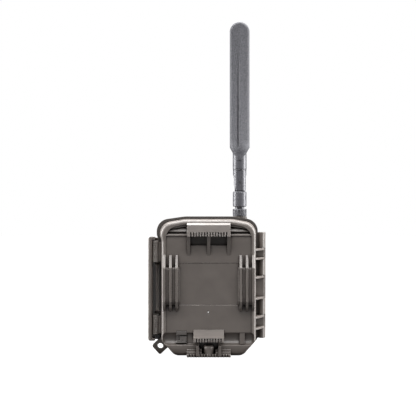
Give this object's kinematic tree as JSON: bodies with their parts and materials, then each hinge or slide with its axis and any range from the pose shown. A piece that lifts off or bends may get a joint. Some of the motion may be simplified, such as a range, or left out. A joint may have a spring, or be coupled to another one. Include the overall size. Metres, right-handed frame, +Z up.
{
  "type": "trail camera",
  "caption": "Weatherproof trail camera: hinged two-part case with side latch, strap loops and toothed tree brackets on the back, and a swivelling paddle antenna.",
  "frame": {"origin": "mouth of the tripod thread in the middle of the foot, level with the underside", "axes": "+Z up along the antenna, -Y the way the lens looks, +Y towards the tree, so +X is the latch side"},
  "size_m": [0.1169, 0.0875, 0.3331],
  "materials": {
    "case_plastic": "moulded warm grey-brown plastic, fine spark texture",
    "face_plastic": "moulded plastic, slightly darker than the case",
    "latch_grey": "lighter grey moulded plastic",
    "rod_grey": "steel rod with a grey plastic sleeve",
    "cover_plastic": "semi-rigid moulded cover",
    "seal_rubber": "black silicone",
    "brass": "machined",
    "black_plastic": "black moulded plastic",
    "inner_plastic": "dark grey moulded plastic",
    "bright_steel": "nickel-plated",
    "dark_steel": "blackened pin",
    "cell_wrap": "printed cell sleeve, plain",
    "dark_filter": "infrared-pass window, gloss",
    "circuit_board": "green solder mask",
    "lamp_epoxy": "dark clear epoxy",
    "clear_window": "clear window",
    "screen_glass": "unlit colour screen",
    "milky_lens": "milky polyethylene",
    "card_plastic": "memory card",
    "sim_plastic": "white card",
    "knob_plastic": "orange knob",
    "antenna_dark": "satin dark grey plastic",
    "antenna_grain": "grained dark grey plastic",
    "key_rubber": "silicone keypad"
  },
  "bodies": {
    "back_half": {"back_case": "case_plastic", "tripod_insert": "brass", "dc_jack": "black_plastic", "battery_tray": "inner_plastic", "battery_cover": "inner_plastic", "battery_springs": "bright_steel", "battery_cells": "cell_wrap", "hinge_pin": "bright_steel", "vent_cap": "sim_plastic"},
    "front_half": {"front_case": "case_plastic", "case_gasket": "seal_rubber", "flange_seal": "seal_rubber", "latch_guard": "black_plastic", "face_plate": "face_plastic", "face_screws": "bright_steel", "ir_window": "dark_filter", "ir_board": "circuit_board", "ir_leds": "lamp_epoxy", "lens_window": "clear_window", "lens_barrel": "black_plastic", "lens_holder": "black_plastic", "sensor_board": "circuit_board", "pir_lens": "milky_lens", "pir_sensor": "bright_steel", "status_lamp": "lamp_epoxy", "light_sensor": "lamp_epoxy", "microphone": "black_plastic", "main_board": "circuit_board", "modem_module": "bright_steel", "inner_panel": "inner_plastic", "panel_screws": "bright_steel", "lcd_frame": "bright_steel", "lcd_screen": "screen_glass", "tact_switches": "black_plastic", "switch_body": "black_plastic", "sd_slot": "bright_steel", "sim_slot": "bright_steel", "latch_pin": "rod_grey", "sma_connector": "brass", "antenna_washer": "seal_rubber"},
    "latch": {"latch_lever": "case_plastic", "latch_links": "latch_grey"},
    "power_flap": {"dc_cover": "cover_plastic"},
    "nut": {"antenna_nut": "antenna_dark"},
    "swivel": {"antenna_base": "antenna_dark"},
    "paddle": {"antenna_sleeve": "antenna_dark", "antenna_pin": "dark_steel", "antenna_paddle": "antenna_grain", "antenna_element": "circuit_board"},
    "mode_knob": {"switch_knob": "knob_plastic"},
    "memory_card": {"sd_card": "card_plastic"},
    "sim": {"sim_card": "sim_plastic"},
    "filter_slide": {"ir_filter": "black_plastic"},
    "key_ok": {"button_ok": "key_rubber"},
    "key_up": {"button_up": "key_rubber"},
    "key_down": {"button_down": "key_rubber"},
    "key_left": {"button_left": "key_rubber"},
    "key_right": {"button_right": "key_rubber"}
  },
  "joints": [
    {"name": "case_hinge", "type": "hinge", "parent": "back_half", "child": "front_half", "pos_m": [-0.0528, -0.026, 0.0682], "axis": [0, 0, -1], "range_deg": [0, 110]},
    {"name": "latch_pivot", "type": "hinge", "parent": "front_half", "child": "latch", "pos_m": [0.0514, -0.038, 0.0663], "axis": [0, 0, -1], "range_deg": [0, 95]},
    {"name": "power_flap_hinge", "type": "hinge", "parent": "back_half", "child": "power_flap", "pos_m": [0.0265, 0.0046, 0.0139], "axis": [-1, 0, 0], "range_deg": [0, 100]},
    {"name": "nut_turn", "type": "hinge", "parent": "front_half", "child": "nut", "pos_m": [-0.0313, -0.046, 0.1404], "axis": [0, 0, 1], "continuous": true},
    {"name": "antenna_swivel", "type": "hinge", "parent": "front_half", "child": "swivel", "pos_m": [-0.0313, -0.046, 0.15], "axis": [0, 0, 1], "continuous": true},
    {"name": "antenna_tilt", "type": "hinge", "parent": "swivel", "child": "paddle", "pos_m": [-0.0313, -0.046, 0.171], "axis": [0, 1, 0], "range_deg": [0, 90]},
    {"name": "mode_slide", "type": "slide", "parent": "front_half", "child": "mode_knob", "axis": [0, 0, 1], "range_m": [-0.0032, 0.0032]},
    {"name": "card_slide", "type": "slide", "parent": "front_half", "child": "memory_card", "axis": [0, 0, -1], "range_m": [0, 0.01]},
    {"name": "sim_slide", "type": "slide", "parent": "front_half", "child": "sim", "axis": [0, 0, -1], "range_m": [0, 0.0075]},
    {"name": "filter_shift", "type": "slide", "parent": "front_half", "child": "filter_slide", "axis": [-1, 0, 0], "range_m": [0, 0.008]},
    {"name": "key_ok_press", "type": "slide", "parent": "front_half", "child": "key_ok", "axis": [0, -1, 0], "range_m": [0, 0.0005], "stiffness_N_per_m": 800},
    {"name": "key_up_press", "type": "slide", "parent": "front_half", "child": "key_up", "axis": [0, -1, 0], "range_m": [0, 0.0005], "stiffness_N_per_m": 800},
    {"name": "key_down_press", "type": "slide", "parent": "front_half", "child": "key_down", "axis": [0, -1, 0], "range_m": [0, 0.0005], "stiffness_N_per_m": 800},
    {"name": "key_left_press", "type": "slide", "parent": "front_half", "child": "key_left", "axis": [0, -1, 0], "range_m": [0, 0.0005], "stiffness_N_per_m": 800},
    {"name": "key_right_press", "type": "slide", "parent": "front_half", "child": "key_right", "axis": [0, -1, 0], "range_m": [0, 0.0005], "stiffness_N_per_m": 800}
  ]
}
